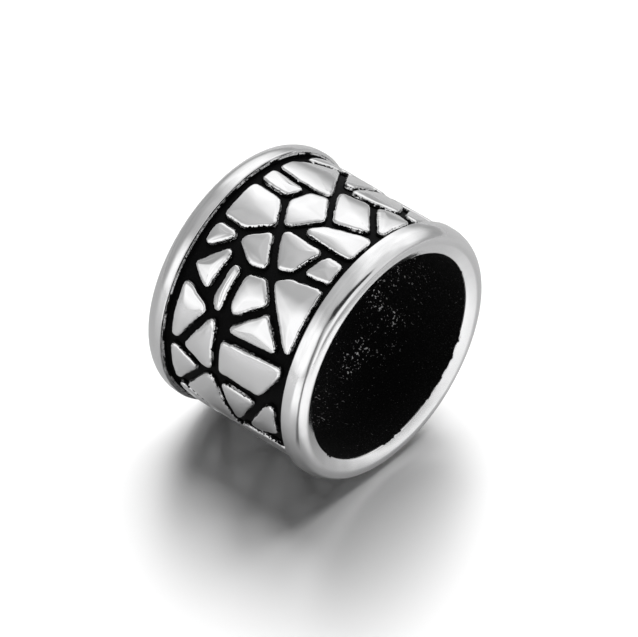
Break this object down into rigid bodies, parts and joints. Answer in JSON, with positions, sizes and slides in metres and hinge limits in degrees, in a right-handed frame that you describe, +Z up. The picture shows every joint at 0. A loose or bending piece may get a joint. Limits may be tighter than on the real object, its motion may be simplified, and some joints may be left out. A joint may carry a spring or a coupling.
{
  "type": "dreadlock bead",
  "caption": "Short metal tube bead with a wide open hole, a round rim at each end and raised flat stones on a blackened ground between them.",
  "frame": {"origin": "on the surface that the bead lies on, below the middle of the bead", "axes": "+X along the hole, towards the mouth that faces the viewer in the picture; +Y across, away from the viewer; +Z up, with the bead lying on its two rims"},
  "size_m": [0.0074, 0.01, 0.01],
  "materials": {
    "polished_steel": "mirror-polished stainless steel on the rims and stone tops, with a matte black oxidised ground and hole"
  },
  "bodies": {
    "root": {"bead": "polished_steel"}
  },
  "joints": []
}
